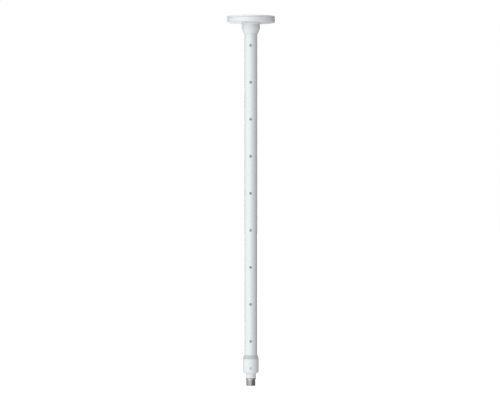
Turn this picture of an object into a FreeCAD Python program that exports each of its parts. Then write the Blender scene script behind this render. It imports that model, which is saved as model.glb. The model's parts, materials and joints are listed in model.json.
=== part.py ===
import FreeCAD, Part

# Omnidirectional antenna that hangs from a ceiling: a flanged radome tube with a stack of half-wave
# radiators inside it, and a coaxial jack held on its lower end by a union collar.
# Millimetres, +Z up. The origin is the centre of the plate's ceiling face, and the antenna hangs below
# it, so most levels are negative. The front, where the spacer screws are, faces -Y.

import math
import os
from types import SimpleNamespace

import Sketcher
from FreeCAD import Placement, Rotation, Vector

# ---------------------------------------------------------------------------- driving sizes
# (name, value, what it is). Each value is written here once, and every piece is bound to these cells.
DRIVING_SIZES = [
    # the plate screwed to the ceiling
    ("plate_diameter", 80.0, "ceiling plate, outside diameter"),
    ("plate_thickness", 3.2, "ceiling plate, thickness of the disc"),
    ("bolt_circle", 60.0, "circle of the ceiling screw holes"),
    ("bolt_hole", 5.2, "diameter of each ceiling screw hole"),
    ("bolt_count", 4, "number of ceiling screw holes"),
    ("boss_wall", 3.4, "wall of the plate's socket for the tube"),
    ("boss_depth", 5.5, "depth of the plate's socket"),
    # the canopy that hides the plate
    ("canopy_wall", 2.0, "wall of the canopy's dish"),
    ("canopy_height", 8.1, "height of the canopy's rim"),
    ("canopy_seam", 0.2, "gap between the plate and the canopy"),
    ("rim_round", 3.0, "round on the canopy's lower rim"),
    ("neck_wall", 4.2, "wall of the canopy's neck"),
    ("neck_length", 18.0, "length of the neck below the dish"),
    ("neck_taper", 9.0, "length of the taper at the neck's end"),
    ("neck_lip", 0.75, "wall left at the neck's end"),
    ("neck_root_round", 2.5, "round where the neck meets the dish"),
    ("grip_ring_section", 1.36, "section of the rubber ring that grips the tube"),
    ("grip_ring_depth", 3.0, "from the dish's underside to the grip ring"),
    ("canopy_screw_depth", 6.4, "from the dish's underside to the canopy's grub screw"),
    # the radome tube
    ("tube_diameter", 21.6, "radome tube, outside diameter"),
    ("tube_wall", 1.7, "radome tube, wall"),
    ("slide_clearance", 0.15, "radial gap where the canopy slides on the tube"),
    ("fit_clearance", 0.05, "radial gap where one piece is seated in another"),
    ("face_gap", 0.1, "gap between faces that only touch in use"),
    # how the tube hangs from the plate
    ("plug_flange", 2.0, "flange of the plug in the tube's top end"),
    ("plug_length", 14.8, "spigot of the plug"),
    ("hanger_thread", 6.0, "thread diameter of the hanger screw"),
    ("hanger_head", 12.0, "head diameter of the hanger screw"),
    ("hanger_length", 18.0, "length of the hanger screw"),
    ("hanger_key", 4.0, "hexagon in the hanger screw, across flats"),
    ("pin_diameter", 3.0, "cross pin through the tube and the plug"),
    ("pin_inset", 9.8, "from the plug's flange to the cross pin"),
    # the radiators: half waves at 2.45 GHz, joined by phasing coils
    ("half_wave", 61.2, "half a wavelength, the pitch of the radiators"),
    ("spacer_count", 9, "number of spacers, with a coil under each"),
    ("tip_gap", 3.4, "from the end of the top plug down to the radiator's tip"),
    ("spacer_thickness", 6.0, "thickness of a spacer"),
    ("spacer_clearance", 0.1, "radial gap between a spacer and the tube"),
    ("window_rim", 1.9, "wall left inside and outside a spacer's window"),
    ("window_count", 4, "number of windows in a spacer"),
    ("rod_diameter", 4.0, "diameter of the radiator rods"),
    ("rod_tail", 5.0, "how far a rod runs below its spacer's middle"),
    ("rod_socket", 3.2, "depth of the drilled end of a rod"),
    ("coil_gap", 8.0, "gap between two rods, bridged by a coil"),
    ("coil_wire", 1.2, "diameter of the coil's wire"),
    ("coil_radius", 3.4, "mean radius of the coil"),
    ("coil_pitch", 2.0, "pitch of the coil"),
    ("coil_turns", 3, "turns of the coil"),
    ("coil_pin", 3.0, "length of the coil's end pins"),
    # the screws that hold the spacers
    ("screw_thread", 2.5, "thread diameter of a spacer screw"),
    ("screw_head", 4.7, "head diameter of a spacer screw"),
    ("screw_length", 6.0, "length of a spacer screw"),
    ("screw_sink", 0.45, "how far its face lies below the tube's surface"),
    ("screw_slot", 0.8, "width of its slot"),
    ("screw_slot_depth", 0.5, "depth of its slot"),
    # the lower end: seal, collar and connector head
    ("base_gap", 23.2, "from the last spacer to the weather seal"),
    ("seal_height", 5.8, "height of the weather seal"),
    ("seal_lip", 0.6, "wall left at the top of the seal's cone"),
    ("seal_cone", 4.6, "height of the seal's cone"),
    ("seal_skirt", 2.2, "skirt of the seal inside the collar"),
    ("collar_gap", 0.2, "gap between the seal and the collar"),
    ("collar_wall", 1.35, "wall of the collar"),
    ("collar_mouth_rim", 2.3, "flat ring left between the collar's bevel and its mouth"),
    ("collar_floor", 3.0, "from the top of the bevel to the inside face of the collar's lip"),
    ("sleeve_gap", 1.0, "from the seal's skirt to the threaded sleeve"),
    ("sleeve_length", 9.2, "threaded sleeve bonded to the tube's end"),
    ("sleeve_wall", 0.95, "how far the sleeve stands out of the tube"),
    ("thread_gap", 0.1, "radial gap between the sleeve and the collar"),
    ("washer_thickness", 0.8, "slip washer on the collar's lip"),
    ("head_flange", 5.6, "flange of the connector head"),
    ("head_rim", 1.1, "part of the flange that centres the collar"),
    ("head_step", 1.5, "step in the flange that clears the grub screw"),
    ("head_spigot", 9.5, "spigot of the connector head in the tube"),
    ("head_ring_section", 1.28, "section of the O-ring on the spigot"),
    ("head_ring_depth", 4.8, "from the flange up to the O-ring"),
    ("head_shelf", 1.6, "shelf of the flange outside the stem, which rests on the slip washer"),
    ("stem_below", 8.2, "stem showing below the collar"),
    ("flat_depth", 0.8, "depth of the spanner flats on the stem"),
    ("grub_diameter", 4.0, "grub screws of the collar and the canopy"),
    ("grub_key", 2.0, "hexagon in the grub screws, across flats"),
    ("grub_above_lip", 3.2, "from the inside face of the collar's lip to its grub screw"),
    ("grub_tip_gap", 0.15, "gap at the tip of a backed-off grub screw"),
    ("grub_sink", 0.2, "how far a grub screw's face is sunk"),
    # the coaxial jack and its feed
    ("jack_thread", 15.88, "coupling thread of the jack, 5/8 inch"),
    ("jack_thread_length", 10.8, "length of the coupling thread"),
    ("jack_shoulder", 1.2, "thickness of the jack's shoulder"),
    ("jack_shoulder_diameter", 16.6, "diameter of the jack's shoulder"),
    ("jack_gasket", 0.6, "flat gasket above the jack's shoulder"),
    ("jack_body", 12.8, "body of the jack inside the stem"),
    ("jack_body_length", 9.8, "length of that body"),
    ("jack_mouth", 8.1, "bore of the jack's mouth"),
    ("jack_mouth_depth", 9.2, "depth of the jack's mouth"),
    ("jack_bore", 7.0, "bore for the jack's insulator"),
    ("contact_diameter", 3.04, "centre contact of the jack"),
    ("contact_bore", 1.65, "bore of the centre contact"),
    ("contact_reach", 1.9, "from the jack's nose to the centre contact"),
    ("contact_slot", 0.3, "width of the contact's slots"),
    ("contact_slot_length", 5.0, "length of the contact's slots"),
    ("solder_pin", 1.6, "pin of the contact in the feed rod"),
    ("feed_bore", 8.1, "bore of the connector head for the feed"),
    ("match_sleeve_wall", 1.15, "wall of the matching sleeve"),
    ("match_sleeve_length", 16.0, "length of the matching sleeve"),
    ("match_seat", 4.0, "depth of the sleeve's seat in the head"),
]

document = FreeCAD.newDocument("ceiling_omni_antenna")
sheet = document.addObject("Spreadsheet::Sheet", "sizes")


def as_formula(number):
    """The formula of a Size, or a plain number as the sheet's formulas write it."""
    return number.formula if isinstance(number, Size) else f"{number:.9g}"


class Size:
    """A number that comes from the sheet: its value, and the formula that gives it from the cells."""

    def __init__(self, value, formula):
        self.value = float(value)
        self.formula = formula

    def __float__(self):
        return self.value

    def __add__(self, other):
        return Size(self.value + float(other), f"({self.formula} + {as_formula(other)})")

    def __radd__(self, other):
        return Size(float(other) + self.value, f"({as_formula(other)} + {self.formula})")

    def __sub__(self, other):
        return Size(self.value - float(other), f"({self.formula} - {as_formula(other)})")

    def __rsub__(self, other):
        return Size(float(other) - self.value, f"({as_formula(other)} - {self.formula})")

    def __mul__(self, other):
        return Size(self.value * float(other), f"{self.formula} * {as_formula(other)}")

    def __truediv__(self, other):
        return Size(self.value / float(other), f"{self.formula} / {as_formula(other)}")

    def __neg__(self):
        return Size(-self.value, f"(-{self.formula})")


def fill_sheet():
    """Writes the driving sizes into the sheet, one row each, and returns them by name."""
    named = {}
    for row, (alias, value, meaning) in enumerate(DRIVING_SIZES, start=1):
        sheet.set(f"A{row}", meaning)
        sheet.set(f"B{row}", str(value))
        sheet.setAlias(f"B{row}", alias)
        named[alias] = Size(value, f"sizes.{alias}")
    document.recompute()
    return SimpleNamespace(**named)


size = fill_sheet()

# ---------------------------------------------------------------------------- sizes that follow
tube_radius = size.tube_diameter / 2
bore_radius = tube_radius - size.tube_wall
plate_under = -size.plate_thickness
socket_radius = tube_radius + size.face_gap
boss_radius = socket_radius + size.boss_wall
tube_top = plate_under - size.plug_flange

dish_top = plate_under - size.canopy_seam
dish_under = dish_top - size.canopy_height
neck_end = dish_under - size.neck_length
slide_radius = tube_radius + size.slide_clearance
neck_radius = slide_radius + size.neck_wall

quarter_wave = size.half_wave / 2
tip_top = tube_top - size.plug_length - size.tip_gap
first_spacer_level = tip_top - quarter_wave + size.rod_tail
last_spacer_level = first_spacer_level - size.half_wave * (size.spacer_count - 1)
spacer_radius = bore_radius - size.spacer_clearance
rod_radius = size.rod_diameter / 2
window_circle_radius = (spacer_radius + rod_radius) / 2
window_radius = (spacer_radius - rod_radius) / 2 - size.window_rim
feed_rod_top = last_spacer_level - size.rod_tail - size.coil_gap

sleeve_radius = tube_radius + size.sleeve_wall
collar_bore = sleeve_radius + size.thread_gap
collar_radius = collar_bore + size.collar_wall
flange_radius = collar_bore - size.grub_tip_gap
step_radius = flange_radius - size.head_step
stem_radius = step_radius - size.head_shelf
flat_radius = stem_radius - size.flat_depth
lip_bore = stem_radius + size.thread_gap * 2
collar_bevel = collar_radius - lip_bore - size.collar_mouth_rim
seal_top = last_spacer_level - size.base_gap
seal_under = seal_top - size.seal_height
collar_top = seal_under - size.collar_gap
sleeve_top = seal_under - size.seal_skirt - size.sleeve_gap
tube_end = sleeve_top - size.sleeve_length
flange_top = tube_end - size.face_gap * 2
flange_under = flange_top - size.head_flange
washer_top = flange_under - size.face_gap
lip_top = washer_top - size.washer_thickness - size.face_gap
collar_under = lip_top - size.collar_floor - collar_bevel
collar_height = collar_top - collar_under
spigot_top = flange_top + size.head_spigot
spigot_radius = bore_radius - size.fit_clearance
stem_end = collar_under - size.stem_below
grub_level = lip_top + size.grub_above_lip

shoulder_top = stem_end - size.jack_gasket
shoulder_under = shoulder_top - size.jack_shoulder
nose = shoulder_under - size.jack_thread_length
jack_top = shoulder_top + size.jack_body_length
insulator_under = nose + size.jack_mouth_depth
feed_rod_end = jack_top + size.face_gap * 10
feed_bore_radius = size.feed_bore / 2
match_sleeve_under = spigot_top - size.match_seat

nodes = []


# ---------------------------------------------------------------------------- modelling helpers
def new_body(label, level, turn=None):
    """A body whose own origin lies on the antenna's axis at that level. turn is its rotation, if any."""
    body = document.addObject("PartDesign::Body", label)
    body.Label = label
    body.Placement = Placement(Vector(0, 0, float(level)), turn or Rotation())
    if isinstance(level, Size):
        body.setExpression(".Placement.Base.z", level.formula)
    return body


def origin_feature(body, role):
    """One of the body's own origin planes or axes, such as XZ_Plane or Z_Axis."""
    return next(feature for feature in body.Origin.OriginFeatures if feature.Role == role)


def new_sketch(body, name, plane):
    sketch = body.newObject("Sketcher::SketchObject", f"{body.Label}_{name}")
    sketch.AttachmentSupport = [(origin_feature(body, plane), "")]
    sketch.MapMode = "FlatFace"
    return sketch


def fix_point(sketch, geometry, end, across, up):
    """Fixes one point of a sketch from its origin, bound to the sheet. A plain 0 puts it on the axis."""
    origin, across_axis, up_axis = (-1, 1), -2, -1
    for kind, axis, distance in (("DistanceX", across_axis, across), ("DistanceY", up_axis, up)):
        if not isinstance(distance, Size):
            sketch.addConstraint(Sketcher.Constraint("PointOnObject", geometry, end, axis))
            continue
        rule = Sketcher.Constraint(kind, *origin, geometry, end, float(distance))
        sketch.setExpression(f"Constraints[{sketch.addConstraint(rule)}]", distance.formula)


def polygon_sketch(body, name, plane, corners):
    """A closed outline of straight sides through the corners, each an (across, up) pair."""
    sketch = new_sketch(body, name, plane)
    points = [Vector(float(across), float(up), 0) for across, up in corners]
    sides = [Part.LineSegment(start, end) for start, end in zip(points, points[1:] + points[:1])]
    sketch.addGeometry(sides, False)
    for side in range(len(sides)):
        following = (side + 1) % len(sides)
        sketch.addConstraint(Sketcher.Constraint("Coincident", side, 2, following, 1))
    for side, (across, up) in enumerate(corners):
        fix_point(sketch, side, 1, across, up)
    return sketch


def circle_sketch(body, name, plane, across, up, radius):
    sketch = new_sketch(body, name, plane)
    centre = Vector(float(across), float(up), 0)
    sketch.addGeometry(Part.Circle(centre, Vector(0, 0, 1), float(radius)), False)
    rule = sketch.addConstraint(Sketcher.Constraint("Radius", 0, float(radius)))
    sketch.setExpression(f"Constraints[{rule}]", radius.formula)
    fix_point(sketch, 0, 3, across, up)
    return sketch


def turned(label, level, profile, turn=None, alone=True):
    """A piece turned about its own Z axis, from the (radius, height) corners of half its section.
    It is a node of its own, unless alone is false and it only goes into a group."""
    body = new_body(label, level, turn)
    if alone:
        nodes.append(body)
    sketch = polygon_sketch(body, "profile", "XZ_Plane", profile)
    turning = body.newObject("PartDesign::Revolution", f"{label}_turning")
    turning.Profile = sketch
    turning.ReferenceAxis = (sketch, ["V_Axis"])
    turning.Angle = 360
    document.recompute()
    return body


def hollow(inner, outer, top, bottom):
    """The section of a plain ring."""
    return [(inner, top), (outer, top), (outer, bottom), (inner, bottom)]


def cut(body, kind, name, sketch, **properties):
    """Adds a feature that removes material, and stops if it removes none."""
    before = body.Shape.Volume
    feature = body.newObject(kind, f"{body.Label}_{name}")
    feature.Profile = sketch
    for key, setting in properties.items():
        if isinstance(setting, Size):
            feature.setExpression(key, setting.formula)
        else:
            setattr(feature, key, setting)
    document.recompute()
    if body.Shape.Volume > before * 0.999999:
        raise RuntimeError(f"{feature.Label} cuts nothing")
    return feature


def repeat(body, kind, name, original, axis, **properties):
    """Repeats a feature in a row or round a circle, and makes the pattern the body's last step."""
    pattern = body.newObject(kind, f"{body.Label}_{name}")
    pattern.Originals = [original]
    place = "Axis" if kind == "PartDesign::PolarPattern" else "Direction"
    setattr(pattern, place, (origin_feature(body, axis), [""]))
    for key, setting in properties.items():
        if isinstance(setting, Size):
            pattern.setExpression(key, setting.formula)
        else:
            setattr(pattern, key, setting)
    body.Tip = pattern
    document.recompute()


def round_edges(body, name, radius, rings):
    """Rounds the circular edges at the given (radius, height) places of the body."""
    edges = []
    base = body.Tip
    for number, edge in enumerate(base.Shape.Edges, start=1):
        curve = edge.Curve
        if isinstance(curve, Part.Circle) and any(
            abs(curve.Radius - float(ring)) < 1e-4 and abs(curve.Center.z - float(height)) < 1e-4
            for ring, height in rings
        ):
            edges.append(f"Edge{number}")
    if len(edges) < len(rings):
        raise RuntimeError(f"{body.Label}: an edge to round is missing")
    fillet = body.newObject("PartDesign::Fillet", f"{body.Label}_{name}")
    fillet.Base = (base, edges)
    fillet.setExpression("Radius", radius.formula)
    document.recompute()


def radial_hole(body, name, plane, level, radius, start, end):
    """A round hole along the sketch's first axis, at that level, between two distances from the axis."""
    sketch = polygon_sketch(
        body, name, plane,
        [(start, level), (end, level), (end, level + radius), (start, level + radius)],
    )
    return cut(
        body, "PartDesign::Groove", f"{name}_cut", sketch,
        ReferenceAxis=(sketch, ["Edge1"]), Angle=360,
    )


def hex_socket(body, name, across_flats, depth, face):
    """A hexagon sunk into a face that looks along the body's +Z."""
    corner = across_flats / (2 * math.cos(math.radians(30)))
    corners = []
    for step in range(6):
        angle = math.radians(60 * step + 30)
        corners.append((corner * math.cos(angle), corner * math.sin(angle)))
    sketch = polygon_sketch(body, name, "XY_Plane", corners)
    sketch.AttachmentOffset = Placement(Vector(0, 0, float(face)), Rotation())
    if isinstance(face, Size):
        sketch.setExpression(".AttachmentOffset.Base.z", face.formula)
    cut(body, "PartDesign::Pocket", f"{name}_cut", sketch, Type="Length", Length=depth)


# ---------------------------------------------------------------------------- the ceiling end
OUTWARD_FRONT = Rotation(Vector(1, 0, 0), 90)  # a piece's own +Z points to the front, -Y
OUTWARD_BACK = Rotation(Vector(1, 0, 0), -90)  # a piece's own +Z points to the back, +Y
OUTWARD_SIDE = Rotation(Vector(0, 1, 0), 90)  # a piece's own +Z points to the side, +X


def make_mounting_plate():
    """The disc that is screwed to the ceiling, with a socket that steadies the tube's top end."""
    head = size.hanger_head / 2 + size.fit_clearance
    shank = size.hanger_thread / 2 + size.fit_clearance
    boss_under = plate_under - size.boss_depth
    plate = turned("mounting_plate", 0, [
        (head, 0),
        (size.plate_diameter / 2, 0),
        (size.plate_diameter / 2, plate_under),
        (boss_radius, plate_under),
        (boss_radius, boss_under),
        (socket_radius, boss_under),
        (socket_radius, plate_under),
        (shank, plate_under),
        (shank, shank - head),
    ])
    hole = circle_sketch(plate, "hole", "XY_Plane", size.bolt_circle / 2, 0, size.bolt_hole / 2)
    drilled = cut(plate, "PartDesign::Pocket", "hole_cut", hole, Type="ThroughAll")
    repeat(
        plate, "PartDesign::PolarPattern", "holes", drilled, "Z_Axis",
        Angle=360, Occurrences=size.bolt_count,
    )


def make_hanger_screw():
    """The countersunk screw that hangs the tube's top plug from the plate."""
    head, shank = size.hanger_head / 2, size.hanger_thread / 2
    top = -size.face_gap
    screw = turned("hanger_screw", 0, [
        (0, top),
        (head - size.face_gap, top),
        (shank, shank - head),
        (shank, -size.hanger_length),
        (0, -size.hanger_length),
    ])
    hex_socket(screw, "key", size.hanger_key, size.hanger_key / 2, top)


def make_top_plug():
    """The plug bonded in the tube's top end; its flange closes the tube."""
    bore = size.hanger_thread / 2 + size.fit_clearance
    spigot = bore_radius - size.fit_clearance
    plug = turned("top_plug", plate_under, [
        (bore, 0),
        (tube_radius, 0),
        (tube_radius, -size.plug_flange),
        (spigot, -size.plug_flange),
        (spigot, -size.plug_flange - size.plug_length),
        (bore, -size.plug_flange - size.plug_length),
    ])
    hole = circle_sketch(
        plug, "pin_hole", "YZ_Plane", 0, -size.plug_flange - size.pin_inset,
        size.pin_diameter / 2 + size.fit_clearance,
    )
    cut(plug, "PartDesign::Pocket", "pin_hole_cut", hole, Type="ThroughAll", Midplane=True)


def make_plug_cross_pins():
    """Two short pins, one from each side, through the tube's wall into the plug."""
    radius = size.pin_diameter / 2
    inner = size.hanger_thread / 2 + size.fit_clearance * 2
    outer = tube_radius - size.face_gap * 2
    level = tube_top - size.pin_inset
    section = [(0, inner), (radius, inner), (radius, outer), (0, outer)]
    pin = turned("plug_cross_pin", level, section, OUTWARD_SIDE, alone=False)
    group("plug_cross_pins", [
        pin.Shape,
        pin.Shape.mirror(Vector(0, 0, 0), Vector(1, 0, 0)),
    ])


def group(label, shapes):
    """One node for pieces that are the same and belong together, each its own solid."""
    feature = document.addObject("Part::Feature", label)
    feature.Label = label
    feature.Shape = Part.makeCompound([solid for shape in shapes for solid in shape.Solids])
    nodes.append(feature)


def make_canopy():
    """The moulded cover over the plate; its neck slides on the tube."""
    rim = size.plate_diameter / 2
    inner_rim = rim - size.canopy_wall
    floor = dish_under + size.canopy_wall
    groove = tube_radius + size.fit_clearance + size.grip_ring_section
    ring_half = size.grip_ring_section / 2 + size.fit_clearance
    ring_level = dish_under - size.grip_ring_depth
    canopy = turned("canopy", 0, [
        (rim, dish_top),
        (rim, dish_under),
        (neck_radius, dish_under),
        (neck_radius, neck_end + size.neck_taper),
        (slide_radius + size.neck_lip, neck_end),
        (slide_radius, neck_end),
        (slide_radius, ring_level - ring_half),
        (groove, ring_level - ring_half),
        (groove, ring_level + ring_half),
        (slide_radius, ring_level + ring_half),
        (slide_radius, floor),
        (inner_rim, floor),
        (inner_rim, dish_top),
    ])
    round_edges(canopy, "rim_round", size.rim_round, [(rim, dish_under)])
    round_edges(canopy, "inner_round", size.rim_round - size.canopy_wall, [(inner_rim, floor)])
    round_edges(canopy, "neck_round", size.neck_root_round, [(neck_radius, dish_under)])
    radial_hole(
        canopy, "screw_hole", "YZ_Plane", dish_under - size.canopy_screw_depth,
        size.grub_diameter / 2 + size.fit_clearance, tube_radius, neck_radius + size.canopy_wall,
    )


def make_grip_ring():
    """The rubber ring in the canopy's neck that grips the tube and holds the canopy up."""
    section = size.grip_ring_section / 2
    ring = document.addObject("Part::Torus", "grip_ring")
    ring.Label = "grip_ring"
    ring.setExpression("Radius2", section.formula)
    ring.setExpression("Radius1", (tube_radius + size.fit_clearance / 2 + section).formula)
    ring.setExpression(".Placement.Base.z", (dish_under - size.grip_ring_depth).formula)
    nodes.append(ring)


def make_grub_screw(label, level, tip, face, turn):
    """A headless screw that lies along its own +Z, from its tip to its socketed face."""
    radius = size.grub_diameter / 2
    screw = turned(label, level, [
        (0, tip),
        (radius * 0.6, tip),
        (radius, tip + radius * 0.4),
        (radius, face),
        (0, face),
    ], turn)
    hex_socket(screw, "key", size.grub_key, (face - tip) * 0.55, face)


# ---------------------------------------------------------------------------- radome and radiators
def make_radome_tube():
    """The fibreglass tube, with a countersunk hole for each spacer screw and cross holes for the pins."""
    tube = turned("radome_tube", 0, hollow(bore_radius, tube_radius, tube_top, tube_end))
    pin_hole = circle_sketch(
        tube, "pin_hole", "YZ_Plane", 0, tube_top - size.pin_inset,
        size.pin_diameter / 2 + size.fit_clearance,
    )
    cut(tube, "PartDesign::Pocket", "pin_hole_cut", pin_hole, Type="ThroughAll", Midplane=True)
    face, head, shank = screw_face(), size.screw_head / 2, size.screw_thread / 2
    gap = size.fit_clearance
    sketch = polygon_sketch(tube, "screw_seat", "YZ_Plane", [
        (-tube_radius - gap, first_spacer_level),
        (-bore_radius + size.tube_wall, first_spacer_level),
        (-bore_radius + size.tube_wall, first_spacer_level + shank + gap),
        (head - shank - face, first_spacer_level + shank + gap),
        (-face, first_spacer_level + head + gap),
        (-tube_radius - gap, first_spacer_level + head + gap),
    ])
    seat = cut(
        tube, "PartDesign::Groove", "screw_seat_cut", sketch,
        ReferenceAxis=(sketch, ["Edge1"]), Angle=360,
    )
    repeat(
        tube, "PartDesign::LinearPattern", "screw_seats", seat, "Z_Axis",
        Reversed=True, Length=size.half_wave * (size.spacer_count - 1), Occurrences=size.spacer_count,
    )


def screw_face():
    """Distance from the antenna's axis to the face of a spacer screw."""
    return tube_radius - size.screw_sink


def make_spacer_screws():
    """The slotted countersunk screws that hold the spacers, one per spacer, in one row down the front."""
    face, head, shank = screw_face(), size.screw_head / 2, size.screw_thread / 2
    tip = face - size.screw_length
    screw = turned("spacer_screw", first_spacer_level, [
        (0, tip),
        (shank, tip),
        (shank, face - (head - shank)),
        (head, face),
        (0, face),
    ], OUTWARD_FRONT, alone=False)
    half_slot = size.screw_slot / 2
    slot = polygon_sketch(screw, "slot", "XZ_Plane", [
        (-half_slot, face - size.screw_slot_depth),
        (half_slot, face - size.screw_slot_depth),
        (half_slot, face + size.screw_slot_depth),
        (-half_slot, face + size.screw_slot_depth),
    ])
    cut(screw, "PartDesign::Pocket", "slot_cut", slot, Type="ThroughAll", Midplane=True)
    group("spacer_screws", [
        screw.Shape.translated(Vector(0, 0, -float(size.half_wave) * number))
        for number in range(int(float(size.spacer_count)))
    ])


def make_spacer(number, level):
    """A PTFE disc that centres the radiators, with a tapped hole for its screw and lightening windows."""
    half = size.spacer_thickness / 2
    bore = rod_radius + size.fit_clearance
    spacer = turned(f"spacer_{number}", level, hollow(bore, spacer_radius, half, -half))
    window = circle_sketch(
        spacer, "window", "XY_Plane", window_circle_radius * math.cos(math.radians(45)),
        window_circle_radius * math.sin(math.radians(45)), window_radius,
    )
    opened = cut(spacer, "PartDesign::Pocket", "window_cut", window, Type="ThroughAll", Midplane=True)
    repeat(
        spacer, "PartDesign::PolarPattern", "windows", opened, "Z_Axis",
        Angle=360, Occurrences=size.window_count,
    )
    tap_radius = size.screw_thread / 2 + size.fit_clearance
    tapped = circle_sketch(spacer, "tapping", "XZ_Plane", 0, 0, tap_radius)
    cut(
        spacer, "PartDesign::Pocket", "tapping_cut", tapped, Type="Length",
        Length=bore_radius, Length2=0.0, Reversed=True,
    )


def make_rod(label, top, length):
    """A brass rod, drilled at both ends for the pins of the phasing coils."""
    bore = size.coil_wire / 2 + size.fit_clearance
    turned(label, top, [
        (bore, 0),
        (rod_radius, 0),
        (rod_radius, -length),
        (bore, -length),
        (bore, size.rod_socket - length),
        (0, size.rod_socket - length),
        (0, -size.rod_socket),
        (bore, -size.rod_socket),
    ])


def make_radiator_tip():
    """The quarter-wave rod at the top, solid at its free end."""
    bore = size.coil_wire / 2 + size.fit_clearance
    turned("radiator_tip", first_spacer_level - size.rod_tail, [
        (0, quarter_wave),
        (rod_radius, quarter_wave),
        (rod_radius, 0),
        (bore, 0),
        (bore, size.rod_socket),
        (0, size.rod_socket),
    ])


def make_feed_rod():
    """The last rod: drilled for the last coil above, and for the jack's solder pin below."""
    coil_bore = size.coil_wire / 2 + size.fit_clearance
    pin_bore = size.solder_pin / 2 + size.fit_clearance
    length = feed_rod_top - feed_rod_end
    turned("feed_rod", feed_rod_top, [
        (coil_bore, 0),
        (rod_radius, 0),
        (rod_radius, -length),
        (pin_bore, -length),
        (pin_bore, size.rod_socket * 2 - length),
        (0, size.rod_socket * 2 - length),
        (0, -size.rod_socket),
        (coil_bore, -size.rod_socket),
    ])


def wire_piece(label, name, level, length, across=None):
    """A straight length of the coil's wire: along Z, or along X if across is given."""
    piece = document.addObject("Part::Cylinder", f"{label}_{name}")
    piece.setExpression("Radius", (size.coil_wire / 2).formula)
    piece.setExpression("Height", length.formula)
    if across is not None:
        piece.Placement = Placement(Vector(0, 0, 0), Rotation(Vector(0, 1, 0), 90))
    piece.setExpression(".Placement.Base.z", level.formula)
    return piece


def solder_bead(label, name, level, across):
    """A bead of solder, a little thicker than the wire, where the wire turns."""
    bead = document.addObject("Part::Sphere", f"{label}_{name}")
    bead.setExpression("Radius", (size.coil_wire * 0.56).formula)
    bead.setExpression(".Placement.Base.z", level.formula)
    if across is not None:
        bead.setExpression(".Placement.Base.x", across.formula)
    return bead


def make_phasing_coil(number, gap_top):
    """The coil between two rods: a helix with an arm at each end that leads to a pin on the axis."""
    label = f"phasing_coil_{number}"
    rise = size.coil_pitch * size.coil_turns
    helix_foot = gap_top - (size.coil_gap + rise) / 2
    helix_head = helix_foot + rise
    helix = document.addObject("Part::Helix", f"{label}_helix")
    helix.setExpression("Pitch", size.coil_pitch.formula)
    helix.setExpression("Height", rise.formula)
    helix.setExpression("Radius", size.coil_radius.formula)
    helix.setExpression(".Placement.Base.z", helix_foot.formula)
    section = document.addObject("Part::Circle", f"{label}_section")
    section.setExpression("Radius", (size.coil_wire / 2).formula)
    section.Placement = Placement(Vector(0, 0, 0), Rotation(Vector(1, 0, 0), 90))
    section.setExpression(".Placement.Base.x", size.coil_radius.formula)
    section.setExpression(".Placement.Base.z", helix_foot.formula)
    document.recompute()
    turns = document.addObject("Part::Sweep", f"{label}_turns")
    turns.Sections = [section]
    turns.Spine = (helix, [f"Edge{index + 1}" for index in range(len(helix.Shape.Edges))])
    turns.Solid = True
    turns.Frenet = True
    pieces = [turns]
    for end, arm_level, pin_level in (
        ("foot", helix_foot, gap_top - size.coil_gap - size.coil_pin),
        ("head", helix_head, helix_head),
    ):
        pin_length = size.coil_pin + (size.coil_gap - rise) / 2
        pieces.append(wire_piece(label, f"{end}_arm", arm_level, size.coil_radius, across=True))
        pieces.append(wire_piece(label, f"{end}_pin", pin_level, pin_length))
        pieces.append(solder_bead(label, f"{end}_inner_bead", arm_level, None))
        pieces.append(solder_bead(label, f"{end}_outer_bead", arm_level, size.coil_radius))
    coil = document.addObject("Part::MultiFuse", label)
    coil.Label = label
    coil.Shapes = pieces
    nodes.append(coil)


def make_radiators():
    """The tip, then under each spacer a coil and the next rod; the feed rod follows the last coil."""
    make_radiator_tip()
    count = int(float(size.spacer_count))
    for index in range(count):
        level = first_spacer_level - size.half_wave * index
        gap_top = level - size.rod_tail
        make_spacer(index + 1, level)
        make_phasing_coil(index + 1, gap_top)
        if index < count - 1:
            make_rod(f"radiator_{index + 1}", gap_top - size.coil_gap, size.half_wave - size.coil_gap)
    make_feed_rod()


# ---------------------------------------------------------------------------- the lower end
def make_thread_sleeve():
    """The threaded sleeve bonded round the tube's lower end, for the collar."""
    turned("thread_sleeve", tube_end, hollow(
        tube_radius + size.fit_clearance / 2, sleeve_radius, size.sleeve_length, 0))


def make_weather_seal():
    """The soft ring on the tube that closes the collar's mouth."""
    inner = tube_radius + size.fit_clearance / 2
    turned("weather_seal", seal_under, [
        (inner, size.seal_height),
        (tube_radius + size.seal_lip, size.seal_height),
        (collar_radius, size.seal_height - size.seal_cone),
        (collar_radius, 0),
        (sleeve_radius, 0),
        (sleeve_radius, -size.seal_skirt),
        (inner, -size.seal_skirt),
    ])


def make_union_collar():
    """The collar that screws up onto the sleeve and draws the connector head against the tube."""
    edge = size.fit_clearance * 8
    lip_level = lip_top - collar_under
    collar = turned("union_collar", collar_under, [
        (collar_bore, collar_height),
        (collar_radius - edge, collar_height),
        (collar_radius, collar_height - edge),
        (collar_radius, collar_bevel),
        (collar_radius - collar_bevel, 0),
        (lip_bore, 0),
        (lip_bore, lip_level),
        (collar_bore, lip_level),
    ])
    # the hole for the grub screw is on the front, towards -Y
    radial_hole(
        collar, "screw_hole", "YZ_Plane", grub_level - collar_under,
        size.grub_diameter / 2 + size.fit_clearance, -collar_radius - edge, -step_radius,
    )


def make_slip_washer():
    """The thin washer between the collar's lip and the connector head's flange."""
    turned("slip_washer", washer_top, hollow(
        lip_bore, flange_radius, 0, -size.washer_thickness))


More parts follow.
